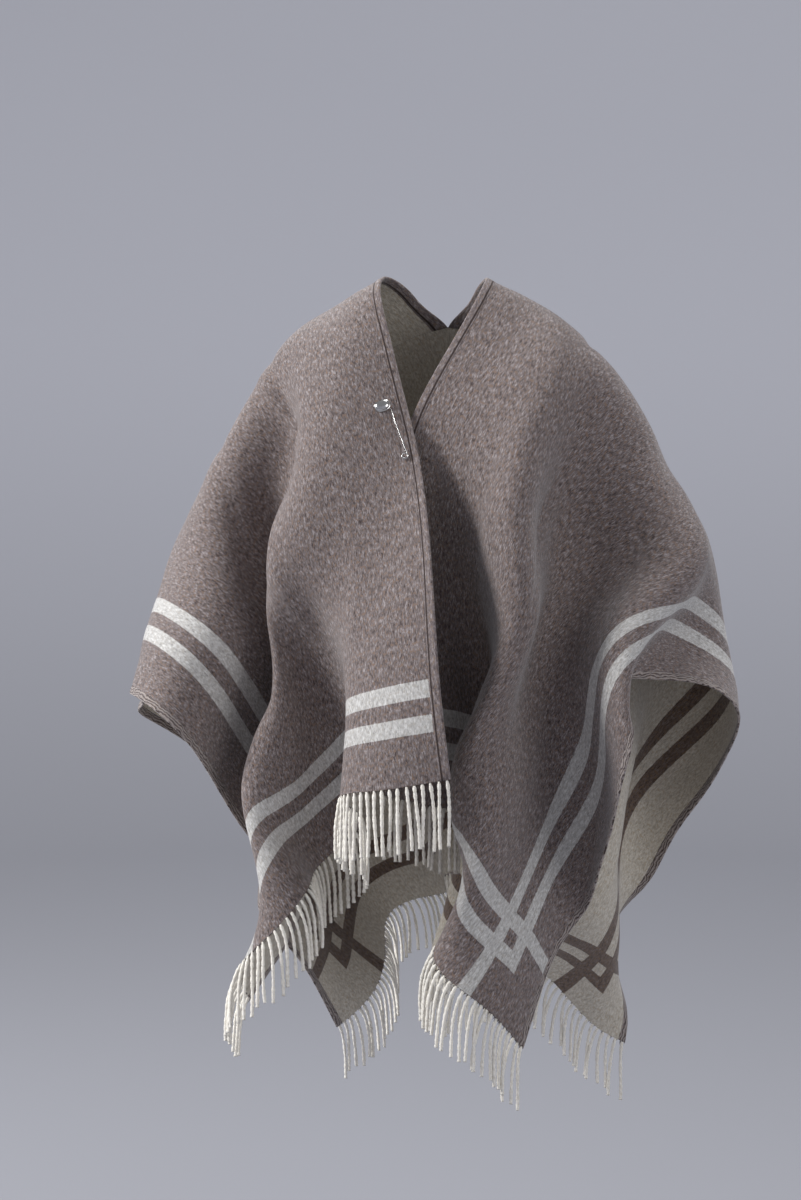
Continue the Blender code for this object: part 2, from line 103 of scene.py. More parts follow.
backTable = (
    (-75, (-21, 21, -113), (-25, 9, -98), (-32, 17, -83), (-43, 17, -69), (-48, 8, -65)),
    (-66, (-17, 27, -109), (-26, 17, -95), (-28, 12, -80), (-39, 19, -64), (-45, 11, -57)),
    (-57, (-17, 34, -104), (-27, 23, -90), (-24, 9, -75), (-35, 17, -58), (-41, 13, -50)),
    (-48, (-18, 42, -99), (-24, 29, -84), (-21, 14, -70), (-29, 13, -53), (-35, 14, -43)),
    (-38, (-10, 43, -97), (-18, 34, -80), (-19, 21, -63), (-22, 9, -47), (-28, 12, -37)),
    (-28, (-5, 34, -93), (-13, 29, -74), (-19, 28, -55), (-16, 13, -41), (-20, 9, -31)),
    (-19, (-4, 25, -90), (-8, 26, -69), (-14, 33, -50), (-14, 19, -34), (-14, 11, -26)),
    (-9, (1, 29, -89), (-1, 31, -68), (-5, 32, -48), (-7, 23, -29), (-8, 15, -19)),
    (0, (5, 37, -88), (5, 34, -67), (-2, 25, -49), (0, 20, -29), (0, 14, -18)),
    (9, (9, 29, -89), (7, 26, -68), (-3, 17, -51), (4, 12, -32), (8, 10, -21)),
    (19, (6, 21, -94), (6, 18, -75), (4, 11, -56), (12, 8, -36), (16, 7, -25)),
    (28, (-1, 15, -98), (3, 11, -79), (11, 9, -60), (19, 5, -41), (22, 10, -30)),
    (38, (-3, 9, -102), (9, 10, -84), (19, 6, -65), (26, 11, -46), (28, 16, -35)),
    (48, (5, 14, -102), (18, 9, -89), (26, 11, -70), (29, 19, -51), (35, 19, -41)),
    (57, (11, 21, -103), (22, 12, -91), (25, 19, -73), (33, 24, -56), (38, 18, -48)),
    (66, (18, 26, -111), (23, 19, -94), (25, 25, -77), (38, 22, -63), (40, 14, -56)),
    (75, (24, 30, -116), (22, 25, -97), (30, 24, -82), (39, 17, -70), (42, 8, -62)),
)

# How the drawn cloth is brought to its cut lengths: the steps between paired grid points with the
# share of the error taken up each pass, the share for diagonals and for pairs that lie too close,
# the part of the whole move that is kept, and how far it is smoothed
settle = {"passes": 60, "pulls": ((1, 1.0), (2, 0.35), (4, 0.2)), "diagonal": 0.5, "close": 0.3,
          "kept": 0.95, "smooth": 0.15}


def unit(v):
    # each vector made 1 long
    return v / np.linalg.norm(v, axis=-1, keepdims=True)


def spline(x, y, at):
    # natural cubic curve through the values y at x, read at the places in at
    x, y, at = np.asarray(x, float), np.asarray(y, float), np.asarray(at, float)
    n, h = len(x), np.diff(x)
    matrix = np.eye(n)
    right = np.zeros((n,) + y.shape[1:])
    shape = (-1,) + (1,) * (y.ndim - 1)
    slope = np.diff(y, axis=0) / h.reshape(shape)
    for k in range(1, n - 1):
        matrix[k, k - 1:k + 2] = h[k - 1], 2 * (h[k - 1] + h[k]), h[k]
        right[k] = 6 * (slope[k] - slope[k - 1])
    bend = np.linalg.solve(matrix, right.reshape(n, -1)).reshape(right.shape)
    k = np.clip(np.searchsorted(x, at, side="right") - 1, 0, n - 2)
    step = h[k].reshape(shape)
    t = (at - x[k]).reshape(shape)
    s = step - t
    return ((bend[k] * s ** 3 + bend[k + 1] * t ** 3) / (6 * step)
            + (y[k] / step - bend[k] * step / 6) * s
            + (y[k + 1] / step - bend[k + 1] * step / 6) * t)


def halfCloth(front, across, along):
    # the places named by the tables, carried to every grid point of one half
    places = np.concatenate([spline([row[0] for row in rows], [row[1:] for row in rows], across)
                             for rows in (backTable, front)], axis=1)
    return spline(backStations + frontStations, places.transpose(1, 0, 2), along).transpose(1, 0, 2)


def pairs(wide, long, middle, step, s):
    # grid points that the cut keeps a known length apart; each group touches a point only once,
    # and none reaches over the slit
    found = []
    for reach, pull in s["pulls"]:
        for half in (0, 1):
            across = [i for i in range(wide - reach)
                      if (i // reach) % 2 == half and (i + reach < middle or i >= middle)]
            along = [j for j in range(long - reach) if (j // reach) % 2 == half]
            found.append((across, range(long), reach, 0, reach * step, pull))
            found.append((range(wide), along, 0, reach, reach * step, pull))
            if reach == 1:
                slant = step * math.sqrt(2)
                found.append((across, range(long - 1), 1, 1, slant, s["diagonal"]))
                found.append((across, range(1, long), 1, -1, slant, s["diagonal"]))
    return [np.meshgrid(list(i), list(j), indexing="ij") + [a, b, length, pull]
            for i, j, a, b, length, pull in found]


def evenLengths(points, middle, seam, step, s):
    # neighbours are moved until each step has its cut length: too long ones wholly, too short
    # ones in part; the moves are smoothed, and the halves stay joined behind
    start = points.copy()
    links = pairs(*points.shape[:2], middle, step, s)
    for turn in range(s["passes"]):
        for i, j, a, b, length, pull in links:
            first, second = points[i, j], points[i + a, j + b]
            between = second - first
            size = np.linalg.norm(between, axis=-1, keepdims=True)
            share = 0.5 * pull * np.where(size < length, s["close"], 1.0)
            change = share * (1 - length / size) * between
            points[i, j] = first + change
            points[i + a, j + b] = second - change
        moved = (points - start) * s["kept"]
        for part in (moved[:middle], moved[middle:]):
            part[1:-1] += s["smooth"] * (part[:-2] + part[2:] - 2 * part[1:-1])
            part[:, 1:-1] += s["smooth"] * (part[:, :-2] + part[:, 2:] - 2 * part[:, 1:-1])
        points = start + moved
        # the joined line: three parts of its own two lines to one of the next two
        joined = 0.375 * (points[middle - 1, :seam] + points[middle, :seam])
        joined += 0.125 * (points[middle - 2, :seam] + points[middle + 1, :seam])
        points[middle - 1, :seam] = joined
        points[middle, :seam] = joined
    return points


gridAlong = np.arange(-cloth["halfLength"], cloth["halfLength"] + 0.1, cloth["step"])
gridRight = np.arange(-cloth["halfWidth"], 0.1, cloth["step"])
gridLeft = -gridRight[::-1]
clothGrid = evenLengths(np.concatenate([halfCloth(frontRightTable, gridRight, gridAlong),
                                        halfCloth(frontLeftTable, gridLeft, gridAlong)]),
                        len(gridRight), len(gridAlong) // 2 + 1, cloth["step"], settle)
halves = {"right": (gridRight, clothGrid[:len(gridRight)]),
          "left": (gridLeft, clothGrid[len(gridRight):])}
print("stage: cloth worked out")


def readHalf(half, across, along):
    # places on the middle of the cloth, from a cubic curve through the grid each way
    lines, grid = halves[half]
    across = spline(lines, grid, across)
    return spline(gridAlong, across.transpose(1, 0, 2), along).transpose(1, 0, 2)


def eachHalf(function, half, across, along):
    # "whole" reads the right half up to the middle line and the left half beyond it
    across = np.asarray(across, float)
    if half != "whole":
        return function(half, across, along)
    return np.concatenate([function("right", across[across <= 0], along),
                           function("left", across[across > 0], along)])


def outward(half, across, along, near=0.6):
    # unit directions out of the garment, from places a little to each side
    lines, reach = halves[half][0], cloth["halfLength"]
    wide = (readHalf(half, np.clip(across + near, lines[0], lines[-1]), along)
            - readHalf(half, np.clip(across - near, lines[0], lines[-1]), along))
    long = (readHalf(half, across, np.clip(along + near, -reach, reach))
            - readHalf(half, across, np.clip(along - near, -reach, reach)))
    return unit(-np.cross(wide, long))


# Creases laid in the cloth's own centimetres: a soft ridge (+) or trough (-) from one
# place to the other, with its height, its width and the sideways bow of its line
creases = {
    "right": ((-20, 4, -31, 42, -0.32, 1.5, 1.2), (-24, 10, -27, 66, 0.30, 1.3, -1.0),
              (-34, 6, -52, 30, -0.28, 1.8, 1.5), (-44, 2, -66, 16, 0.22, 1.6, -1.0),
              (-30, 30, -36, 74, -0.30, 1.6, 1.4), (-12, 44, -17, 82, 0.20, 1.9, 0.8),
              (-6, 28, -12, 50, -0.16, 1.4, 0.6), (-50, 26, -62, 44, -0.24, 1.7, 1.6),
              (-40, 44, -44, 80, 0.26, 1.7, -1.2), (-56, 40, -60, 78, -0.26, 1.5, 0.9),
              (-26, -10, -34, -60, -0.30, 1.8, 1.4), (-46, -8, -62, -30, 0.26, 1.7, 1.2),
              (-14, -20, -16, -74, 0.26, 2.0, -1.2), (-54, -30, -58, -78, -0.28, 1.8, 1.0),
              (-38, -34, -42, -84, 0.24, 1.6, 1.5), (-8, -40, -6, -80, -0.22, 1.7, 0.7)),
    "left": ((19, 3, 22, 30, -0.34, 1.4, -1.0), (24, 8, 36, 34, 0.26, 1.6, 1.2),
             (14, 24, 20, 76, -0.22, 1.9, -1.2), (30, 22, 34, 70, -0.30, 1.6, 1.2),
             (8, 34, 10, 80, 0.20, 1.7, 0.8), (42, 12, 60, 30, -0.24, 1.7, -1.4),
             (48, 30, 54, 62, 0.24, 1.7, 1.0), (38, 4, 60, 10, 0.22, 1.9, 1.0),
             (60, 38, 64, 74, -0.24, 1.5, -0.8), (40, 52, 44, 82, -0.22, 1.6, 0.9),
             (24, -10, 31, -58, -0.28, 1.7, -1.2), (44, -8, 60, -28, 0.26, 1.7, -1.0),
             (12, -24, 13, -76, 0.24, 2.0, 1.0), (52, -32, 56, -80, -0.26, 1.7, -1.0),
             (36, -36, 39, -82, 0.26, 1.6, 1.3), (66, -14, 68, -60, -0.20, 1.5, 0.9)),
}


def creaseHeights(half, across, along):
    # two slow waves of the cloth's own unevenness, and for each crease
    # height * exp(-(distance off its line / width)^2), fading at both ends
    a, b = np.meshgrid(across, along, indexing="ij")
    height = (0.045 * np.sin(0.71 * a + 0.30 * b + 1.3 * np.sin(0.19 * b))
              + 0.040 * np.sin(0.52 * b - 0.43 * a + 1.1 * np.sin(0.23 * a)))
    for a0, b0, a1, b1, tall, wide, bow in creases[half]:
        goA, goB = a1 - a0, b1 - b0
        long = math.hypot(goA, goB)
        t = ((a - a0) * goA + (b - b0) * goB) / long ** 2
        run = np.clip(t, 0, 1)
        off = ((a - a0) * goB - (b - b0) * goA) / long - bow * np.sin(np.pi * run)
        fade = np.clip(np.minimum(t + 0.12, 1.12 - t) / 0.35, 0, 1)
        spread = wide * (0.7 + 0.5 * run)
        height += tall * np.exp(-(off / spread) ** 2) * fade ** 2 * (3 - 2 * fade)
    # flat within 4 cm of the edges and seams and under the pin, where other pieces meet it
    near = np.minimum(np.abs(a) - 0.3, cloth["halfWidth"] - cloth["rolled"] - np.abs(a))
    near = np.minimum(near, cloth["halfLength"] - np.abs(b))
    underPin = np.exp(-((a + 3) ** 2 + (b - 38) ** 2 * 0.6) / 40) if half == "right" else 0
    return height * np.clip(near / 4, 0, 1) * (1 - underPin)


def creased(half, across, along):
    # the cloth's places, moved out by its creases
    def layer(side, a, b):
        return readHalf(side, a, b) + outward(side, a, b) * creaseHeights(side, a, b)[..., None]
    return eachHalf(layer, half, across, along)


def hexColour(text):
    # sRGB hex to linear
    parts = [int(text[k:k + 2], 16) / 255 for k in (0, 2, 4)]
    return tuple(p / 12.92 if p <= 0.04045 else ((p + 0.055) / 1.055) ** 2.4 for p in parts) + (1.0,)


def addNode(tree, kind, inputs=None, out=0, **settings):
    # a shader node with its settings: sockets are linked, other values are put in
    node = tree.nodes.new("ShaderNode" + kind)
    for name, value in settings.items():
        setattr(node, name, value)
    for key, value in (inputs or {}).items():
        if isinstance(value, bpy.types.NodeSocket):
            tree.links.new(value, node.inputs[key])
        else:
            node.inputs[key].default_value = value
    return node.outputs[out]


# Settings that the nodes below share
smooth = {"interpolation_type": "SMOOTHSTEP"}
colours = {"out": 2, "data_type": "RGBA"}

# Noise in the wool, each row: how far it is drawn out along the nap, patches a metre, detail and
# roughness. 1300 is 0.8 mm, 900 is 1.1, 620 is 1.6, 420 is 2.4, 330 is 3, 240 is 4, 60 is 17 mm
# and 34 is 3 cm
grains = {"fibre": (0.26, 620.0, 3.0, 0.65), "mottle": (0.36, 240.0, 2.0, 0.5),
          "cloud": (1.0, 34.0, 2.0, 0.5), "warm": (0.6, 330.0, 1.0, 0.5),
          "pile": (0.5, 900.0, 3.0, 0.7), "bandRim": (1.0, 420.0, 2.0, 0.5),
          "edgeYarn": (0.8, 60.0, 2.0, 0.5), "spun": (0.35, 1300.0, 2.0, 0.6),
          "tuft": (1.0, 240.0, 2.0, 0.5)}


def grain(tree, spot, kind):
    # noise on the cloth's own map, from its row above
    drawn, scale, detail, rough = grains[kind]
    lie = addNode(tree, "Mapping", {"Vector": spot, "Scale": (1.0, drawn, 1.0)})
    return addNode(tree, "TexNoise", {"Vector": lie, "Scale": scale, "Detail": detail,
                                      "Roughness": rough})


def weighted(tree, *terms):
    # the sum of each value times its weight
    total = 0.0
    for value, weight in terms:
        total = addNode(tree, "Math", {0: value, 1: weight, 2: total}, operation="MULTIPLY_ADD")
    return total


def around(tree, value, centre):
    # how far the value is from the centre, either way
    off = addNode(tree, "Math", {0: value, 1: centre}, operation="SUBTRACT")
    return addNode(tree, "Math", {0: off}, operation="ABSOLUTE")


def newMaterial(name, roughness=0.95, metallic=0.0, sheen=0.0):
    # cloth and paper are matt, with little of the plain shine that metal keeps
    shade = bpy.data.materials.new(name)
    shade.use_nodes = True
    body = shade.node_tree.nodes["Principled BSDF"]
    body.inputs["Roughness"].default_value = roughness
    body.inputs["Metallic"].default_value = metallic
    body.inputs["Sheen Weight"].default_value = sheen
    body.inputs["Sheen Roughness"].default_value = 0.45
    if not metallic:
        body.inputs["Specular IOR Level"].default_value = 0.15
    return shade, shade.node_tree, body


def finish(tree, body, colour, height, strength, depth):
    # colour and bump, with the bump's depth in metres
    tree.links.new(colour, body.inputs["Base Color"])
    bump = addNode(tree, "Bump", {"Height": height, "Strength": strength, "Distance": depth})
    tree.links.new(bump, body.inputs["Normal"])


def heather(tree, spot, w):
    # fibres of three shades, drawn out along the nap: a ramp through 0.62 of the fine grain and
    # 0.38 of the mottle, with warm fibres strewn in, evened out by slow clouds
    mix = weighted(tree, (grain(tree, spot, "fibre"), 0.62), (grain(tree, spot, "mottle"), 0.38))
    shaded = addNode(tree, "ValToRGB", {0: mix})
    ramp = shaded.node.color_ramp
    ramp.elements[0].position, ramp.elements[0].color = 0.37, hexColour(w["dark"])
    ramp.elements[1].position, ramp.elements[1].color = 0.63, hexColour(w["light"])
    ramp.elements.new(0.5).color = hexColour(w["ground"])
    strewn = addNode(tree, "MapRange", {0: grain(tree, spot, "warm"), 1: 0.52, 2: 0.66}, **smooth)
    warm = addNode(tree, "Mix", {0: strewn, 6: shaded, 7: hexColour(w["warm"])}, **colours)
    clouds = addNode(tree, "MapRange", {0: grain(tree, spot, "cloud"), 1: 0.3, 2: 0.7}, **smooth)
    even = weighted(tree, (clouds, 0.22))
    return addNode(tree, "Mix", {0: even, 6: warm, 7: hexColour(w["ground"])}, **colours), mix


# The two pale bands in metres: distance of each from the hem, how much farther they lie from the
# selvedge, half the width, softness and waver of the rims, and where the outer band turns
bands = {"inner": 0.124, "outer": 0.078, "shift": 0.014, "half": 0.0118, "soft": 0.0007,
         "waver": 0.0022, "cornerSide": 0.0802, "cornerHem": 0.0662}


def bandMask(tree, spot, b):
    # 1 on the bands: the inner pair crosses and runs on to the edges, the outer pair turns at the
    # corner
    waver = weighted(tree, (grain(tree, spot, "bandRim"), b["waver"]), (-0.5, b["waver"]))
    edges = addNode(tree, "SeparateXYZ", {0: addNode(tree, "UVMap", uv_map="edges")}).node.outputs
    side = addNode(tree, "Math", {0: edges[0], 1: waver}, operation="ADD")
    hem = addNode(tree, "Math", {0: edges[1], 1: waver}, operation="ADD")

    def strip(distance, centre):
        return addNode(tree, "MapRange", {0: around(tree, distance, centre),
                                          1: b["half"] + b["soft"], 2: b["half"] - b["soft"]}, **smooth)

    def beyond(distance, corner):
        return addNode(tree, "MapRange", {0: distance, 1: corner - b["soft"],
                                          2: corner + b["soft"]}, **smooth)

    mask = addNode(tree, "Math", {0: strip(hem, b["inner"]), 1: strip(side, b["inner"] + b["shift"])},
                   operation="MAXIMUM")
    for band, end in ((strip(hem, b["outer"]), beyond(side, b["cornerSide"])),
                      (strip(side, b["outer"] + b["shift"]), beyond(hem, b["cornerHem"]))):
        turned = addNode(tree, "Math", {0: band, 1: end}, operation="MULTIPLY")
        mask = addNode(tree, "Math", {0: mask, 1: turned}, operation="MAXIMUM")
    return mask


def woolCloth(name, ground, band):
    # milled and brushed double-faced wool: matt and heathered, with a light nap that catches the
    # light, and a slanting weave of about 3 mm that barely shows through
    shade, tree, body = newMaterial(name, 0.96, sheen=0.35)
    spot = addNode(tree, "UVMap", uv_map="cloth")
    plain, fibres = heather(tree, spot, ground)
    striped = heather(tree, spot, band)[0]
    colour = addNode(tree, "Mix", {0: bandMask(tree, spot, bands), 6: plain, 7: striped}, **colours)
    weave = addNode(tree, "TexWave", {"Vector": spot, "Scale": 150.0, "Distortion": 6.0,
                                      "Detail": 2.0, "Detail Scale": 3.0}, 1,
                    bands_direction="DIAGONAL")
    lie = weighted(tree, (grain(tree, spot, "pile"), 0.6), (weave, 0.12), (fibres, 0.9))
    finish(tree, body, colour, lie, 0.55, 0.0011)
    return shade


outsideWool = woolCloth("brushed_wool_outside",
                        {"dark": "453b39", "ground": "756b69", "light": "aca4a4", "warm": "836f63"},
                        {"dark": "8d8a86", "ground": "c3c1be", "light": "dfdedb", "warm": "b5b0a9"})
insideWool = woolCloth("brushed_wool_inside",
                       {"dark": "9c9385", "ground": "c6bfb2", "light": "dcd7cc", "warm": "b8aa95"},
                       {"dark": "463a33", "ground": "695b53", "light": "8a7d76", "warm": "7a6450"})

# Painted shade and light on the edges, in metres: painted shade in the sunk line of the stitching
# on the turned ones, and painted highlight and shade on the undulating yarns of the rolled ones
paintedSeamShade = {"at": 0.0116, "outer": 0.0019, "inner": 0.0006, "shade": "3f3533"}
rolledYarnHighlightAndShade = {"apart": 0.0042, "bend": 0.014, "light": "a59b95", "dark": "4a3e39"}


def edgeWool(name, w):
    # the same wool where it is folded over, with its colour, grain and distance from the edge
    shade, tree, body = newMaterial(name, 0.96, sheen=0.3)
    spot = addNode(tree, "UVMap", uv_map="cloth")
    across = addNode(tree, "SeparateXYZ", {0: addNode(tree, "UVMap", uv_map="edges")})
    return shade, tree, body, spot, across, *heather(tree, spot, w)


def turnedEdge(name, w, s):
    # the sunk line of the stitching is darkened with painted shade
    shade, tree, body, spot, across, colour, fibres = edgeWool(name, w)
    line = addNode(tree, "MapRange", {0: around(tree, across, s["at"]), 1: s["outer"],
                                      2: s["inner"]}, **smooth)
    colour = addNode(tree, "Mix", {0: line, 6: colour, 7: hexColour(s["shade"])}, **colours)
    finish(tree, body, colour, fibres, 0.6, 0.0012)
    return shade


def rolledEdge(name, w, y):
    # sin(2 pi distance / apart), bent along the edge: painted highlight on the crests and painted shade between
    shade, tree, body, spot, across, colour, fibres = edgeWool(name, w)
    bent = weighted(tree, (grain(tree, spot, "edgeYarn"), y["bend"]), (-0.5, y["bend"]), (across, 1.0))
    wave = addNode(tree, "Math", {0: weighted(tree, (bent, 2 * math.pi / y["apart"]))}, operation="SINE")
    for low, high, tone in ((0.0, 0.9, "light"), (-0.55, -1.0, "dark")):
        share = addNode(tree, "MapRange", {0: wave, 1: low, 2: high}, **smooth)
        colour = addNode(tree, "Mix", {0: share, 6: colour, 7: hexColour(y[tone])}, **colours)
    height = addNode(tree, "Math", {0: wave, 1: fibres}, operation="ADD")
    finish(tree, body, colour, height, 0.5, 0.0012)
    return shade


turnedWool = turnedEdge("turned_wool_edge", {"dark": "4d4342", "ground": "7c7271", "light": "a9a1a1",
                                             "warm": "857468"}, paintedSeamShade)
rolledWool = rolledEdge("rolled_wool_edge", {"dark": "564b49", "ground": "8a8180", "light": "b3acab",
                                             "warm": "8b7b70"}, rolledYarnHighlightAndShade)


def yarnMaterial(name, w):
    # soft spun wool: matt, with fine fibres that run round the twist
    shade, tree, body = newMaterial(name, 0.95, sheen=0.3)
    spot = addNode(tree, "UVMap", uv_map="yarn")
    blend = weighted(tree, (grain(tree, spot, "spun"), 0.5), (grain(tree, spot, "tuft"), 0.5))
    share = addNode(tree, "MapRange", {0: blend, 1: 0.36, 2: 0.62}, **smooth)
    colour = addNode(tree, "Mix", {0: share, 6: hexColour(w["dark"]), 7: hexColour(w["light"])},
                     **colours)
    finish(tree, body, colour, blend, 0.5, 0.0008)
    return shade


creamYarn = yarnMaterial("cream_wool_yarn", {"dark": "ebe5d8", "light": "fffbf3"})
darkTuft = yarnMaterial("brown_wool_tufts", {"dark": "3b302a", "light": "6d6059"})
stitchYarn = yarnMaterial("brown_sewing_thread", {"dark": "4a3e37", "light": "6f625b"})
# nickel-plated spring steel, polished: clear reflections with slightly soft rims
polishedSteel, _, steelBody = newMaterial("polished_steel", 0.2, 1.0)
steelBody.inputs["Base Color"].default_value = hexColour("c9c8c6")
print("stage: materials made")


def makeMesh(name, points, faces, shades, faceShades=None, maps=None, normals=None):
    # points and maps in centimetres, faces as rows of corners
    mesh = bpy.data.meshes.new(name)
    mesh.from_pydata((np.asarray(points) * 0.01).tolist(), [], [list(f) for f in faces])
    mesh.polygons.foreach_set("use_smooth", np.ones(len(mesh.polygons), bool))
    for shade in shades:
        mesh.materials.append(shade)
    if faceShades is not None:
        mesh.polygons.foreach_set("material_index", np.asarray(faceShades, np.int32))
    corner = np.zeros(len(mesh.loops), np.int32)
    mesh.loops.foreach_get("vertex_index", corner)
    for title, values in (maps or {}).items():
        layer = mesh.uv_layers.new(name=title)
        layer.data.foreach_set("uv", (np.asarray(values)[corner] * 0.01).ravel())
    mesh.update()
    if normals is not None:
        mesh.normals_split_custom_set_from_vertices(normals.tolist())
    thing = bpy.data.objects.new(name, mesh)
    bpy.context.collection.objects.link(thing)
    return thing


def place(thing, slot, *nodes):
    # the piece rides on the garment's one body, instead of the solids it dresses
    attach(thing, "root")
    if nodes:
        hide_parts(*nodes)
    return thing


def gridFaces(wide, long, base=0, flip=1):
    # the four-sided faces of a grid of points; flip -1 turns them over
    n = np.arange(wide * long).reshape(wide, long) + base
    return np.stack([n[:-1, :-1], n[1:, :-1], n[1:, 1:], n[:-1, 1:]], -1).reshape(-1, 4)[:, ::flip]


def tubeFaces(n):
    # the sides of a tube from rings of points, the last axis running round
    turn = np.roll(n, -1, axis=-1)
    return np.stack([n[..., :-1, :], turn[..., :-1, :], turn[..., 1:, :], n[..., 1:, :]],
                    -1).reshape(-1, 4).tolist()


def flatMap(across, along):
    # each grid point's own place on the cloth as cut
    a, b = np.meshgrid(across, along, indexing="ij")
    return np.stack([a, b], -1).reshape(-1, 2)


def clothShell(name, half, across, along, seamEnd):
    # outer and inner faces on the same grid, half the cloth's thickness to each side; the grid
    # runs one row past the shoulder seam, so that the shading is the same on both of its sides
    extra = along[-1] + 0.6 if seamEnd else along[0] - 0.6
    longer = np.append(along, extra) if seamEnd else np.insert(along, 0, extra)
    middle = creased(half, across, longer)
    normal = unit(-np.cross(np.gradient(middle, axis=0), np.gradient(middle, axis=1)))
    keep = slice(0, -1) if seamEnd else slice(1, None)
    middle, normal = middle[:, keep], normal[:, keep]
    wide, long = middle.shape[:2]
    out = normal * cloth["thick"] / 2
    points = np.concatenate([(middle + out).reshape(-1, 3), (middle - out).reshape(-1, 3)])
    count = wide * long
    outer, inner = gridFaces(wide, long, 0, -1), gridFaces(wide, long, count)
    n = np.arange(count).reshape(wide, long)
    rims = [np.stack([r[:-1], r[1:], r[1:] + count, r[:-1] + count], -1)[:, ::flip]
            for r, flip in ((n[0], -1), (n[-1], 1), (n[:, 0], 1), (n[:, -1], -1))]
    faces = np.concatenate([outer, inner] + rims)
    which = np.zeros(len(faces), int)
    which[len(outer):len(outer) + len(inner)] = 1
    flat = flatMap(across, along)
    edges = np.array([cloth["halfWidth"], cloth["halfLength"]]) - np.abs(flat)
    normals = np.concatenate([normal.reshape(-1, 3), -normal.reshape(-1, 3)])
    return makeMesh(name, points, faces, (outsideWool, insideWool), which,
                    {"cloth": np.concatenate([flat, flat]), "edges": np.concatenate([edges, edges])},
                    normals)


# Grid lines of the panels, which stop at the edges' own pieces
fine = {"side": 121, "long": 146, "middle": (-1.0, -0.5, 0.0, 0.5, 1.0)}
sideLines = np.linspace(cloth["turned"] + cloth["part"],
                        cloth["halfWidth"] - cloth["rolled"] - cloth["part"], fine["side"])
frontLines = np.linspace(cloth["part"] / 2, cloth["halfLength"], fine["long"])
wholeLines = np.concatenate([-sideLines[::-1], fine["middle"], sideLines])
backPanel = place(clothShell("back_panel_cloth", "whole", wholeLines, -frontLines[::-1], True),
                  "taupe_wool", "back_panel")
frontRight = place(clothShell("front_right_cloth", "right", -sideLines[::-1], frontLines, False),
                   "taupe_wool", "front_right")
frontLeft = place(clothShell("front_left_cloth", "left", sideLines, frontLines, False),
                  "taupe_wool", "front_left")
print("stage: panels made")


def edgeRoll(name, half, profile, along, shade, waver):
    # profile: closed ring of distance from the slit or middle and height off the cloth, carried
    # along the edge; the height wavers a little
    across = np.array([p[0] for p in profile]) * (-1 if half == "right" else 1)
    lift = np.array([p[1] for p in profile])[:, None]
    lift = lift * (1 + waver * np.sin(1.7 * along + 0.8 * np.sin(0.6 * along)))
    points = readHalf(half, across, along) + outward(half, across, along) * lift[..., None]
    wide, long = points.shape[:2]
    n = np.arange(wide * long).reshape(wide, long)
    closed = np.concatenate([n, n[:1]])
    faces = np.stack([closed[:-1, :-1], closed[1:, :-1], closed[1:, 1:], closed[:-1, 1:]], -1)
    faces, ends = faces.reshape(-1, 4), [n[::-1, 0], n[:, -1]]
    if half == "right":
        faces, ends = faces[:, ::-1], [end[::-1] for end in ends]
    flat = flatMap(across, along)
    return makeMesh(name, points.reshape(-1, 3), faces.tolist() + ends, (shade,),
                    maps={"cloth": flat, "edges": np.abs(flat)})


# Rolls of the edges in centimetres: thickness, steps across, the stitched groove's distance from
# the rim with its depth and width, the ridges and their height, the rise from the panel, and the
# waver of the height
turnedRoll = {"thick": 0.46, "steps": 18, "groove": 1.13, "deep": 0.09, "narrow": 0.10,
              "ridges": 0, "rise": 0.3, "waver": 0.05, "rings": 200}
rolledRoll = {"thick": 0.36, "steps": 14, "groove": None, "ridges": 3, "high": 0.03, "rise": 0.3,
              "waver": 0.1, "rings": 390}


def ringOf(inner, outer, r):
    # top from the panel's side outward, round the outer rim, and back underneath
    thin, thick = cloth["thick"], r["thick"]
    inward = 0.5 * thick * np.sign(outer - inner)
    u = np.linspace(inner, outer - inward, r["steps"])
    t = np.abs(u - inner)
    risen = np.clip(t / r["rise"], 0, 1)
    level = thin / 2 + (thick - thin) / 2 * risen
    top = level.copy()
    if r["groove"] is not None:
        top -= r["deep"] * np.exp(-((np.abs(u - outer) - r["groove"]) / r["narrow"]) ** 2)
    if r["ridges"]:
        top += r["high"] * np.sin(2 * np.pi * t / (abs(outer - inner) / r["ridges"])) * risen
    turn = np.linspace(np.pi / 2, -np.pi / 2, 7)[1:-1]
    rim = list(zip(outer - inward * (1 - np.cos(turn)), thick / 2 * np.sin(turn)))
    return list(zip(u, top)) + rim + list(zip(u[::-1], -level[::-1]))


turnedAlong = np.linspace(cloth["part"] / 2, cloth["halfLength"], turnedRoll["rings"])
rolledAlong = np.linspace(-cloth["halfLength"], cloth["halfLength"], rolledRoll["rings"])
turnedRing = ringOf(cloth["turned"], cloth["part"], turnedRoll)
rolledRing = ringOf(cloth["halfWidth"] - cloth["rolled"], cloth["halfWidth"], rolledRoll)
turnedEdges, rolledEdges = {}, {}
for half in ("right", "left"):
    turnedEdges[half] = place(edgeRoll("turned_edge_" + half + "_wool", half, turnedRing, turnedAlong,
                                       turnedWool, turnedRoll["waver"]),
                              "taupe_edge", "turned_edge_" + half)
    rolledEdges[half] = place(edgeRoll("selvedge_" + half + "_wool", half, rolledRing, rolledAlong,
                                       rolledWool, rolledRoll["waver"]),
                              "taupe_edge", "selvedge_" + half)
print("stage: edges made")

# Fringe: two-ply twisted strands, 1.1 cm apart, with tufts of the cloth's own wool between them
fringe = {"long": 8.9, "thick": 0.56, "apart": 1.1, "rings": 44, "sides": 8, "turn": 2.0,
          "hang": 3.2, "seed": 7, "tufts": 3}


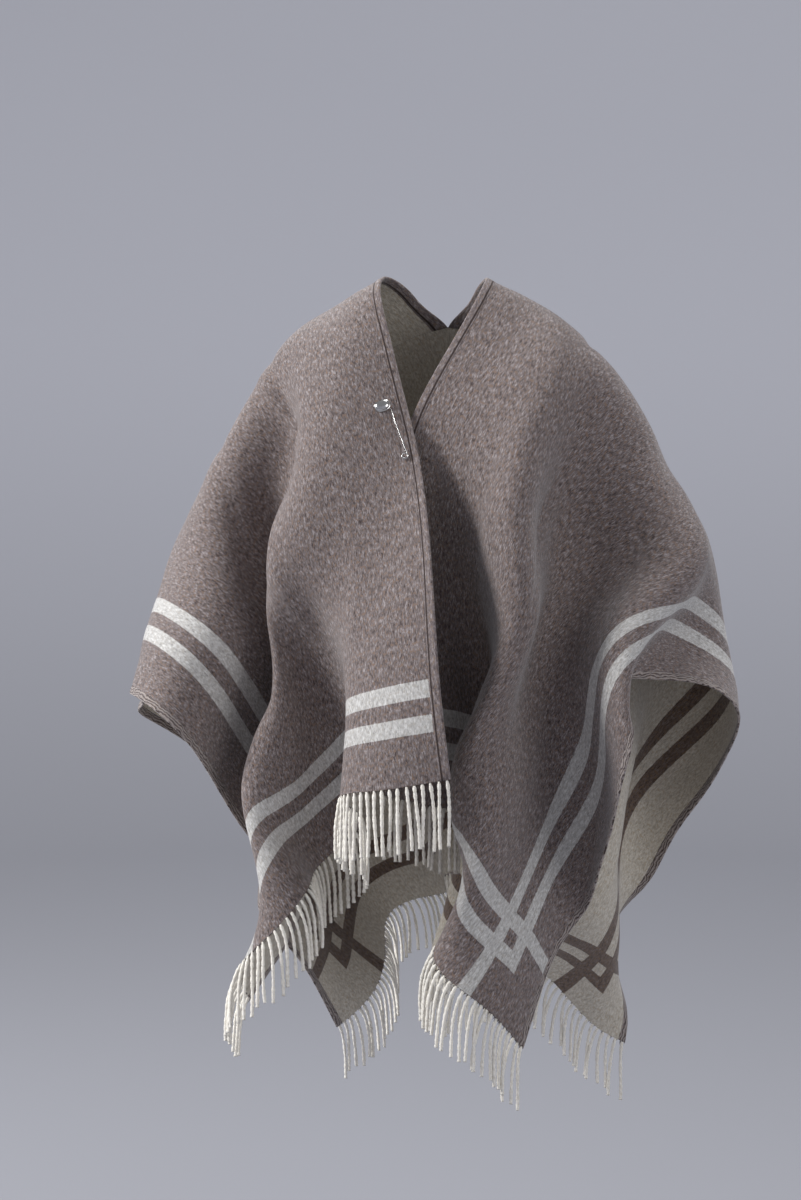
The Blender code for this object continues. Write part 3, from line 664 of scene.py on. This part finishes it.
def hemRoots(half, first, last, hem, f, random):
    # where each strand leaves the hem, and its ways ahead, aside and off the cloth
    count = int(round((last - first) / f["apart"]))
    pitch = (last - first) / count
    centres = first + pitch * (np.arange(count) + 0.5) + random.normal(0, 0.06, count)
    near = eachHalf(readHalf, half, centres, np.array(sorted((hem, hem * (1 - 1 / 90)))))
    if hem < 0:
        near = near[:, ::-1]
    start, ahead = near[:, 1], unit(near[:, 1] - near[:, 0])
    face = unit(np.cross(unit(np.gradient(start, axis=0)), ahead))
    return start, ahead, np.cross(ahead, face), face, pitch


def strandPaths(start, ahead, side, face, f, random):
    # headings go from the cloth's own way to straight down by 1 - exp(-hang t), with a sway, a
    # bow and a lean of each strand's own; the path is their running sum
    count, rings = len(start), f["rings"]
    t = np.linspace(0, 1, rings)
    long = f["long"] * (1 + random.uniform(-0.06, 0.05, count))
    sway, bow = random.normal(0, 0.06, count), random.normal(0, 0.07, count)
    out = random.normal(0, 0.06, count)
    down = np.array([0.0, 0.0, -1.0])
    hang = (1 - np.exp(-f["hang"] * t))[None, :, None]
    lean = (sway[:, None] * np.sin(np.pi * t)[None, :] - bow[:, None] * (t - 0.45)[None, :])[..., None]
    heading = unit(ahead[:, None] * (1 - hang) + down * hang + side[:, None] * lean
                   + face[:, None] * (out[:, None] * np.cos(2.5 * t)[None, :])[..., None])
    steps = heading * (long / (rings - 1))[:, None, None]
    path = start[:, None] + ahead[:, None] * 0.05 + np.concatenate(
        [np.zeros((count, 1, 3)), np.cumsum(steps[:, :-1], axis=1)], axis=1)
    return path, heading, long


def strandSkins(path, heading, face, long, f, random):
    # each ring has two lobes that turn round the path once in each "turn" of its length, and the
    # tip spreads a little; with the ring's own map of fibres
    count, rings, sides = len(path), f["rings"], f["sides"]
    t = np.linspace(0, 1, rings)
    over = unit(face[:, None] - heading * np.sum(face[:, None] * heading, -1, keepdims=True))
    aside = np.cross(heading, over)
    corner = 2 * np.pi * np.arange(sides) / sides
    lobes = 0.74 + 0.26 * np.abs(np.cos(corner))
    size = f["thick"] / 2 * (1 + 0.10 * np.sin(17 * t) + 0.22 * np.clip((t - 0.9) / 0.1, 0, 1) ** 2
                             - 0.25 * np.clip((0.05 - t) / 0.05, 0, 1))
    size = size[None, :] * random.uniform(0.90, 1.08, count)[:, None]
    twist = 2 * np.pi * t[None, :] * (long / f["turn"])[:, None] + random.uniform(0, 6, count)[:, None]
    angle = (twist[..., None] + corner)[..., None]
    points = (path[:, :, None] + (size[..., None] * lobes)[..., None]
              * (np.cos(angle) * aside[:, :, None] + np.sin(angle) * over[:, :, None]))
    yarn = np.stack(np.broadcast_arrays(corner * f["thick"] / 2, (t * f["long"])[:, None]), -1)
    yarn = (np.broadcast_to(yarn, (count, rings, sides, 2))
            + (np.arange(count) * 3.1)[:, None, None, None])
    return points, yarn


def rootTufts(start, ahead, side, face, pitch, f, random):
    # short four-sided cones that lean out of the hem between the roots
    each = f["tufts"]
    count = each * len(start)
    start, ahead, side, face = (np.repeat(v, each, axis=0) for v in (start, ahead, side, face))
    at = start + side * (random.uniform(-0.5, 0.5, count) * pitch)[:, None]
    way = ahead + side * random.normal(0, 0.35, count)[:, None]
    tip = at + way * random.uniform(0.25, 0.7, count)[:, None]
    wide = random.uniform(0.05, 0.11, count)[:, None]
    points = np.stack([at + side * wide, at + face * wide, at - side * wide, at - face * wide, tip], 1)
    base = 5 * np.arange(count)[:, None]
    faces = [(base + np.array(c)).tolist() for c in ((0, 1, 4), (1, 2, 4), (2, 3, 4), (3, 0, 4),
                                                     (3, 2, 1, 0))]
    yarn = np.repeat(np.arange(count) * 1.7, 5)[:, None] * [1, 0.3]
    return points.reshape(-1, 3), sum(faces, []), yarn


def strands(name, half, first, last, hem, f):
    # one row of fringe: the strands, then the tufts between them
    random = np.random.default_rng(f["seed"] + len(name))
    start, ahead, side, face, pitch = hemRoots(half, first, last, hem, f, random)
    path, heading, long = strandPaths(start, ahead, side, face, f, random)
    skins, yarn = strandSkins(path, heading, face, long, f, random)
    tufts, tuftFaces, tuftYarn = rootTufts(start, ahead, side, face, pitch, f, random)
    n = np.arange(skins[..., 0].size).reshape(skins.shape[:3])
    faces = tubeFaces(n) + n[:, 0, ::-1].tolist() + n[:, -1].tolist()
    which = [0] * len(faces) + [1] * len(tuftFaces)
    faces += [[corner + n.size for corner in face] for face in tuftFaces]
    return makeMesh(name, np.concatenate([skins.reshape(-1, 3), tufts]), faces,
                    (creamYarn, darkTuft), which,
                    {"yarn": np.concatenate([yarn.reshape(-1, 2), tuftYarn])})


width = cloth["halfWidth"]
fringes = {
    "back": place(strands("fringe_back_yarn", "whole", -width, width, -cloth["halfLength"], fringe),
                  "cream_wool", "fringe_back"),
    "right": place(strands("fringe_right_yarn", "right", -width, 0, cloth["halfLength"], fringe),
                   "cream_wool", "fringe_front_right"),
    "left": place(strands("fringe_left_yarn", "left", 0, width, cloth["halfLength"], fringe),
                  "cream_wool", "fringe_front_left")}
print("stage: fringes made")


def bars(name, paths, radius, sides, shade):
    # round bars along several paths, joined as one mesh; each ring is square to its path, and
    # keeps the last one's turn as nearly as it can
    points, faces, where = [], [], []
    corner = 2 * np.pi * np.arange(sides) / sides
    cosine, sine = np.cos(corner), np.sin(corner)
    for path in paths:
        path = np.asarray(path, float)
        headings = unit(np.gradient(path, axis=0))
        up = np.cross(headings[0], (0.3, 0.9, 0.1))
        base, rings = len(points), len(path)
        for k, (spot, way) in enumerate(zip(path, headings)):
            up = up - way * np.dot(up, way)
            up /= np.linalg.norm(up)
            thick = radius * (1.0 if 0 < k < rings - 1 else 0.8)
            points += list(spot + thick * (np.outer(cosine, up) + np.outer(sine, np.cross(way, up))))
            where += [(thick * c, k * radius) for c in corner]
        n = np.arange(rings * sides).reshape(rings, sides) + base
        faces += tubeFaces(n) + [n[0, ::-1].tolist(), n[-1].tolist()]
    return makeMesh(name, points, faces, (shade,), maps={"yarn": where})


# Row of stitches along each turned edge, in centimetres
stitches = {"from": 1.5, "apart": 0.55, "long": 0.32, "off": 1.13, "lift": 0.125, "arch": 0.03,
            "radius": 0.028, "sides": 5, "rings": 5}


def stitchRow(half, s):
    # each stitch is a short arch, arch * sin(pi t) over the groove
    across = np.array([s["off"] * (-1 if half == "right" else 1)])
    steps = np.linspace(0, s["long"], s["rings"])
    rise = s["lift"] + s["arch"] * np.sin(np.pi * np.linspace(0, 1, s["rings"]))
    paths = [readHalf(half, across, begin + steps)[0]
             + outward(half, across, begin + steps)[0] * rise[:, None]
             for begin in np.arange(s["from"], cloth["halfLength"] - 1, s["apart"])]
    return bars("stitches_" + half, paths, s["radius"], s["sides"], stitchYarn)


seams = {half: place(stitchRow(half, stitches), None) for half in ("right", "left")}

# Kilt pin of sprung steel wire with a pressed cap, on a plane just above the right front: its ends
# on the cloth, and its sizes in centimetres
pin = {"top": (-4.0, 33.6), "end": (-2.3, 42.4), "middle": (-3.0, 38.0), "off": 0.185,
       "capWide": 2.3, "capLong": 1.7, "capThick": 0.5, "capSides": 56, "capRings": 18,
       "wire": 0.095, "wireSides": 14, "coil": 0.40, "coilTurns": 1.5, "coilRings": 61}


def pinFrame(p):
    # origin, the ways aside, down and off the cloth, and the length between the ends
    def spot(a, b):
        a, b = np.array([a]), np.array([b])
        return readHalf("right", a, b)[0, 0] + outward("right", a, b)[0, 0] * p["off"]
    top, end = spot(*p["top"]), spot(*p["end"])
    length = np.linalg.norm(end - top)
    down = (end - top) / length
    out = outward("right", *(np.array([v]) for v in p["middle"]))[0, 0]
    out = out - down * np.dot(out, down)
    out /= np.linalg.norm(out)
    return top, np.cross(out, down), down, out, length


pinOrigin, pinSide, pinDown, pinOut, pinLength = pinFrame(pin)


def pinPlaces(rows):
    # rows of distances aside, down and off the cloth, as places
    rows = np.asarray(rows, float)
    return pinOrigin + rows[:, :1] * pinSide + rows[:, 1:2] * pinDown + rows[:, 2:] * pinOut


def pinCap(p):
    # a shield outline, |x|^(8/3) + |y|^(8/3) = 1, with a pressed rim round a dome, flat behind
    rings, sides = p["capRings"], p["capSides"]
    share = np.arange(1, rings + 1)[:, None] / rings
    t = 2 * np.pi * np.arange(sides) / sides
    c, s = np.cos(t), np.sin(t)
    x = p["capWide"] / 2 * np.copysign(np.abs(c) ** 0.75, c) * (1 + 0.06 * s) * share
    y = p["capLong"] / 2 * (1 - np.copysign(np.abs(s) ** 0.75, s) * share)
    dome = 0.30 + 0.70 * np.sqrt(np.maximum(0.0, 1 - (share / 0.84) ** 2.6))
    rim = 0.34 - 0.34 * ((share - 0.92) / 0.08) ** 2
    z = np.maximum(p["capThick"] * np.where(share < 0.84, dome, rim), 0.02)
    front = np.stack(np.broadcast_arrays(x, y, z), -1).reshape(-1, 3)
    front = np.concatenate([[(0, p["capLong"] / 2, p["capThick"])], front])
    n = 1 + np.arange(rings * sides).reshape(rings, sides)
    turn = np.roll(n, -1, axis=1)
    fan = np.stack([np.zeros(sides, int), n[0], turn[0]], -1)
    quads = np.stack([n[:-1], n[1:], turn[1:], turn[:-1]], -1).reshape(-1, 4)
    back = len(front)
    side = np.stack([n[-1], n[-1] + back, turn[-1] + back, turn[-1]], -1)
    faces = (fan.tolist() + quads.tolist() + (fan + back)[:, ::-1].tolist()
             + (quads + back)[:, ::-1].tolist() + side.tolist())
    return makeMesh("pin_cap_steel", pinPlaces(np.concatenate([front, front * (1, 1, 0)])), faces,
                    (polishedSteel,))


def pinWire(p):
    # the front arm, the coil, and the start of the arm in the cloth
    arm = np.array([(0.85, p["capLong"] + 0.12, 0.16), (0.72, p["capLong"] + 2.0, 0.22)])
    share = np.array([0.25, 0.5, 0.75])[:, None]
    slope = arm[1] * (1 - share) + np.array((p["coil"], pinLength - 0.15, 0.46)) * share
    whole = 2 * np.pi * p["coilTurns"]
    t = np.linspace(0, whole, p["coilRings"])
    coil = np.stack([p["coil"] * np.cos(t), pinLength + p["coil"] * np.sin(t),
                     0.50 - 0.34 * t / whole], -1)
    rest = [(-p["coil"] - 0.02, pinLength - 0.3, 0.15)]
    return bars("pin_wire_steel", [pinPlaces(np.concatenate([arm, slope, coil, rest]))], p["wire"],
                p["wireSides"], polishedSteel)


place(pinCap(pin), "bright_steel", "pin_cap")
place(pinWire(pin), "bright_steel", "pin_wire")
print("stage: pin made")

# Studio in metres: a plain floor that sweeps up all round into a cool grey backdrop, darker
# towards the floor with painted shade, and with a light of its own that is the same from every side
studio = {"floor": -1.62, "inner": 0.3, "radius": 5.2, "bend": 1.2, "top": 3.6, "sides": 96,
          "low": "7d7e84", "high": "b4b5bc", "from": -2.02, "to": 0.4, "glow": "b4b5bd",
          "strength": 0.33}
room = {"colour": "c4c6cc", "strength": 0.46}
# Disk lights: place, what it faces, size and watts
lights = {"key": ((-3.0, -1.7, 1.3), (0.0, 0.0, -0.5), 1.5, 132),
          "fill": ((2.9, -1.6, 1.2), (0.1, 0.0, -0.5), 2.0, 34),
          "side": ((-3.3, -0.2, 0.1), (0.0, 0.0, -0.6), 1.6, 38),
          "top": ((0.4, 1.0, 2.5), (0.0, 0.1, -0.4), 1.6, 55)}


def makeSweep(s):
    # a profile of floor, quarter bend and wall, carried round
    t = np.linspace(0, np.pi / 2, 17)[1:]
    radius = np.concatenate([[s["inner"], s["radius"]], s["radius"] + s["bend"] * np.sin(t),
                             [s["radius"] + s["bend"]]])[:, None]
    level = np.concatenate([[s["floor"]] * 2, s["floor"] + s["bend"] * (1 - np.cos(t)),
                            [s["top"]]])[:, None]
    turns = 2 * np.pi * np.arange(s["sides"]) / s["sides"]
    points = np.stack(np.broadcast_arrays(radius * np.cos(turns), radius * np.sin(turns), level), -1)
    n = np.arange(points[..., 0].size).reshape(points.shape[:2])
    shade, tree, body = newMaterial("matt_grey_paper", 0.95)
    spot = addNode(tree, "TexCoord", out="Object")
    height = addNode(tree, "SeparateXYZ", {0: spot}, 2)
    # painted shade: the paper's colour goes from low at the floor to high up the wall
    rise = addNode(tree, "MapRange", {0: height, 1: s["from"], 2: s["to"]}, **smooth)
    colour = addNode(tree, "Mix", {0: rise, 6: hexColour(s["low"]), 7: hexColour(s["high"])},
                     **colours)
    tree.links.new(colour, body.inputs["Base Color"])
    body.inputs["Emission Color"].default_value = hexColour(s["glow"])
    body.inputs["Emission Strength"].default_value = s["strength"]
    makeMesh("sweep", points.reshape(-1, 3) * 100, tubeFaces(n) + [n[0, ::-1].tolist()],
                      (shade,))


def addLight(name, spot, aim, size, energy):
    # a disk at the spot, turned to face the aim
    data = bpy.data.lights.new(name, "AREA")
    data.shape = "DISK"
    data.size = size
    data.energy = energy
    lamp = bpy.data.objects.new(name, data)
    way = Vector(aim) - Vector(spot)
    lamp.matrix_world = Matrix.Translation(spot) @ way.to_track_quat("-Z", "Y").to_matrix().to_4x4()
    bpy.context.collection.objects.link(lamp)


makeSweep(studio)
for name, row in lights.items():
    addLight(name, *row)
world = bpy.data.worlds.new("soft_grey_room")
world.use_nodes = True
world.node_tree.nodes["Background"].inputs[0].default_value = hexColour(room["colour"])
world.node_tree.nodes["Background"].inputs[1].default_value = room["strength"]
bpy.context.scene.world = world
bpy.context.scene.view_settings.view_transform = "Standard"
print("stage: studio made")
